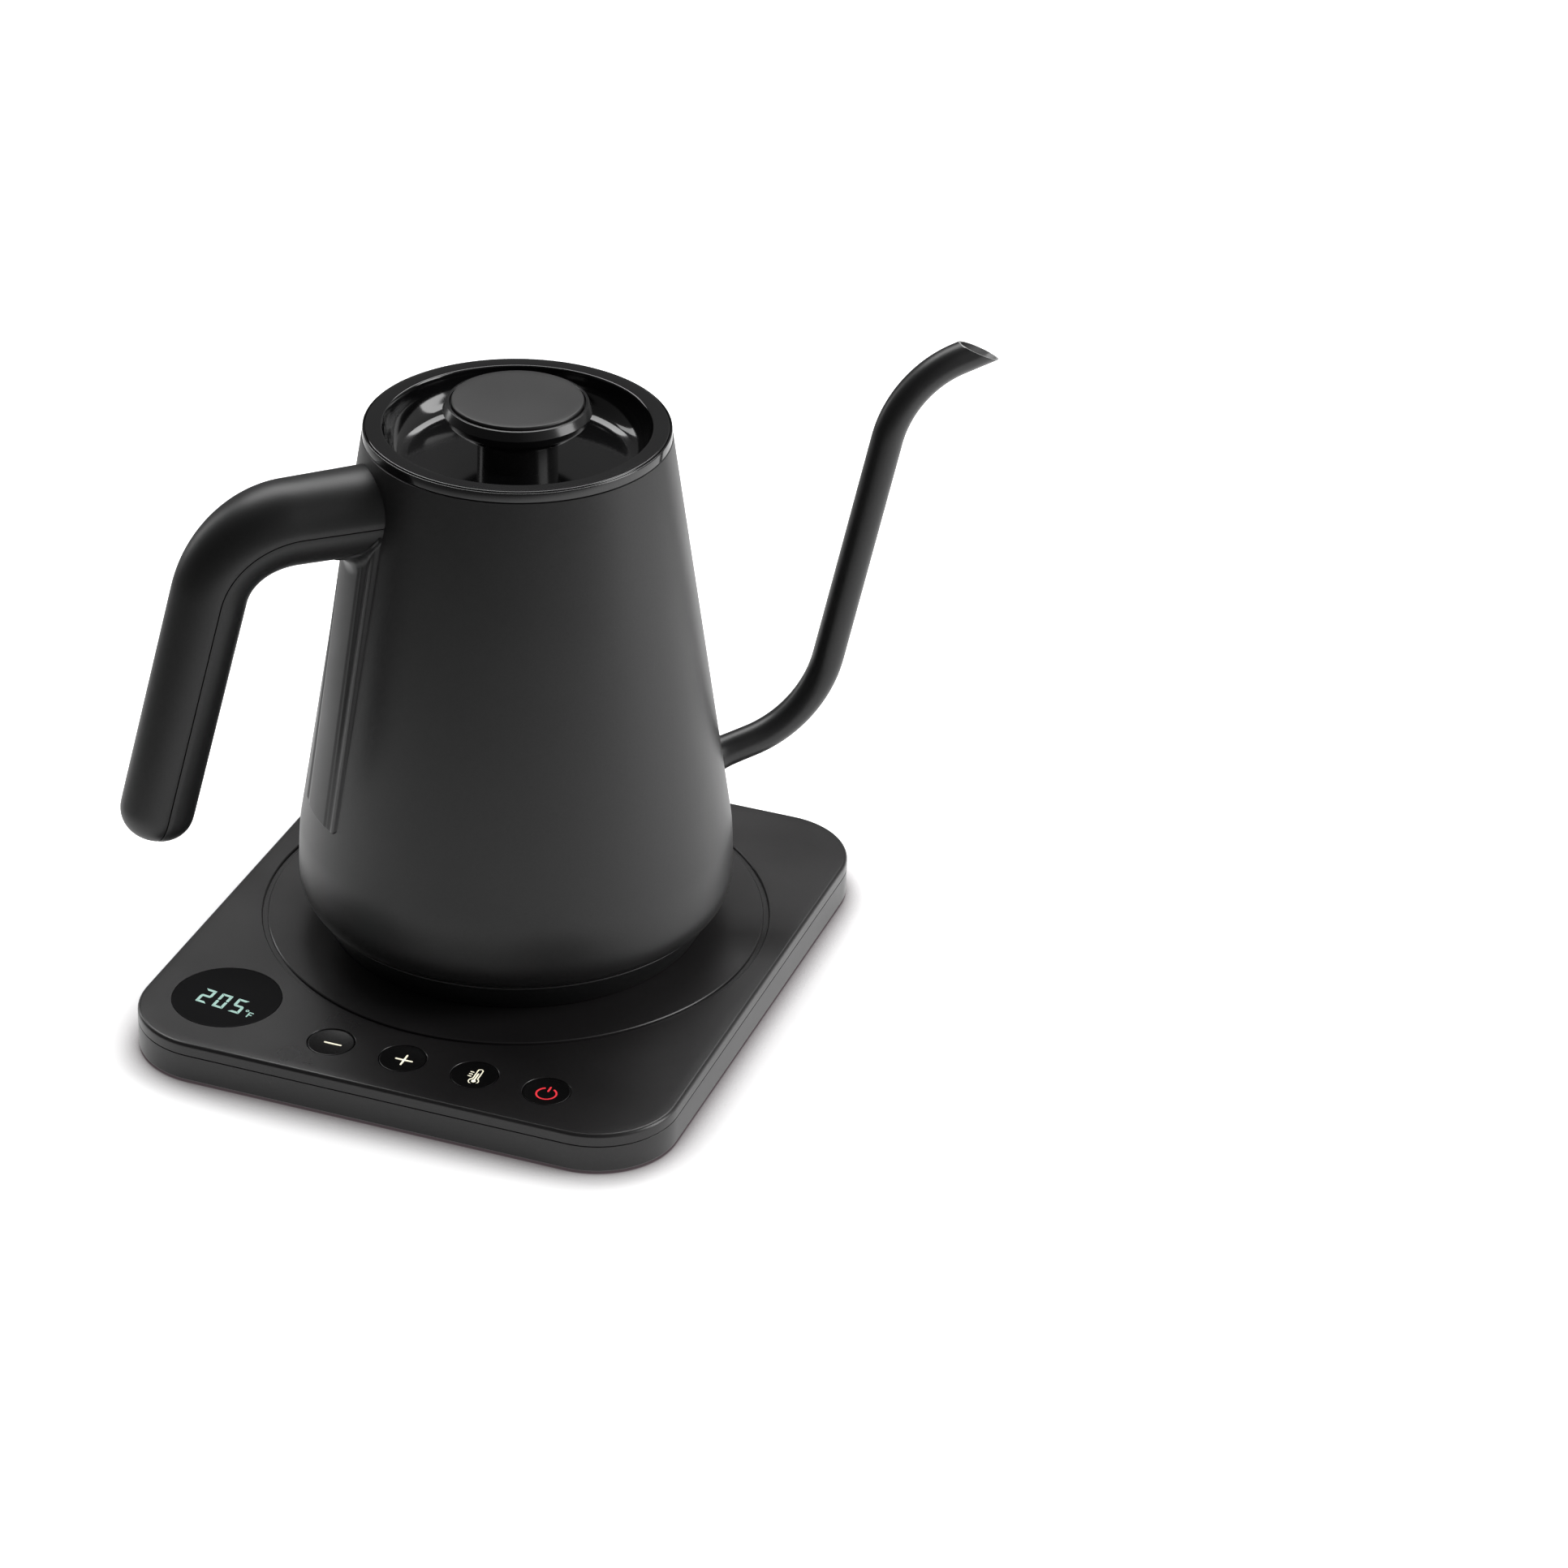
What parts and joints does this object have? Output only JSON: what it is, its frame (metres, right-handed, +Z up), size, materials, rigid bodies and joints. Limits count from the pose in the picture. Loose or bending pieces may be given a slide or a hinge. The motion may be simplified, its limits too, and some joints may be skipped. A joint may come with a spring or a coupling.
{
  "type": "gooseneck kettle",
  "caption": "Electric pour-over kettle with a gooseneck spout, cantilever handle and dished lid, standing on a square control base with a round display and push buttons.",
  "frame": {"origin": "on the table under the centre of the base's own footprint (the cord and plug reach out behind it)", "axes": "+X right along the control edge, +Y from the control edge to the back, +Z up; the spout points 43 degrees from +X towards +Y and the handle opposite it"},
  "size_m": [0.207, 0.3158, 0.1867],
  "materials": {
    "base_plastic": "fine-grained satin charcoal plastic",
    "rubber_feet": "matt",
    "zinc_steel": "zinc-plated",
    "display_window": "smoked, polished",
    "black_plastic": "matt",
    "digit_light": "lit pale teal",
    "circuit_board": "solder-masked board",
    "connector_plastic": "heat-proof moulded plastic",
    "contact_brass": "plain",
    "wire_cover": "insulation",
    "cord_rubber": "smooth matt",
    "body_coat": "matt powder coat with fine grain",
    "spout_coat": "matt powder coat with fine grain",
    "plain_steel": "brushed",
    "plain_aluminium": "cast, plain",
    "bottom_plastic": "satin black",
    "gloss_black": "polished black",
    "handle_plastic": "smooth satin",
    "seal_rubber": "translucent silicone",
    "knob_plastic": "satin black",
    "knob_disc": "satin dark grey",
    "button_plastic": "satin with printed symbols"
  },
  "bodies": {
    "base": {"base_bottom_cover": "base_plastic", "base_top_cover": "base_plastic", "feet": "rubber_feet", "base_screws": "zinc_steel", "display_lens": "display_window", "display_module": "black_plastic", "display_digits": "digit_light", "control_board": "circuit_board", "tact_switches": "black_plastic", "power_board": "circuit_board", "power_parts": "connector_plastic", "triac": "black_plastic", "base_connector": "connector_plastic", "base_contacts": "contact_brass", "base_wires": "wire_cover", "strain_relief": "cord_rubber", "power_cord": "cord_rubber", "plug_body": "cord_rubber", "plug_blades": "contact_brass"},
    "minus_button": {"button_minus": "button_plastic", "plunger_minus": "black_plastic"},
    "plus_button": {"button_plus": "button_plastic", "plunger_plus": "black_plastic"},
    "temperature_button": {"button_temperature": "button_plastic", "plunger_temperature": "black_plastic"},
    "power_button": {"button_power": "button_plastic", "plunger_power": "black_plastic"},
    "swivel": {"connector_shutter": "connector_plastic"},
    "kettle": {"body_shell": "body_coat", "vessel_floor": "plain_steel", "heater_plate": "plain_aluminium", "heating_element": "plain_steel", "temperature_probe": "plain_steel", "thermal_control": "connector_plastic", "thermal_cutouts": "contact_brass", "heater_bracket": "plain_steel", "kettle_connector": "connector_plastic", "kettle_contacts": "contact_brass", "kettle_wires": "wire_cover", "bottom_cover": "bottom_plastic", "bottom_screws": "zinc_steel", "spout_tube": "spout_coat", "rim_collar": "gloss_black", "handle_outer_shell": "handle_plastic", "handle_inner_shell": "handle_plastic", "handle_core": "plain_aluminium"},
    "lid": {"lid_dish": "gloss_black", "lid_underside": "plain_steel", "lid_gasket": "seal_rubber", "knob": "knob_plastic", "knob_inset": "knob_disc", "lid_screw": "zinc_steel"}
  },
  "joints": [
    {"name": "minus_press", "type": "slide", "parent": "base", "child": "minus_button", "axis": [0, 0, -1], "range_m": [0, 0.0006]},
    {"name": "plus_press", "type": "slide", "parent": "base", "child": "plus_button", "axis": [0, 0, -1], "range_m": [0, 0.0006]},
    {"name": "temperature_press", "type": "slide", "parent": "base", "child": "temperature_button", "axis": [0, 0, -1], "range_m": [0, 0.0006]},
    {"name": "power_press", "type": "slide", "parent": "base", "child": "power_button", "axis": [0, 0, -1], "range_m": [0, 0.0006]},
    {"name": "kettle_swivel", "type": "hinge", "parent": "base", "child": "swivel", "pos_m": [0, 0.011, 0.0124], "axis": [0, 0, 1], "continuous": true},
    {"name": "kettle_lift", "type": "slide", "parent": "swivel", "child": "kettle", "axis": [0, 0, 1], "range_m": [0, 0.06]},
    {"name": "lid_lift", "type": "slide", "parent": "kettle", "child": "lid", "axis": [0, 0, 1], "range_m": [0, 0.05]}
  ]
}
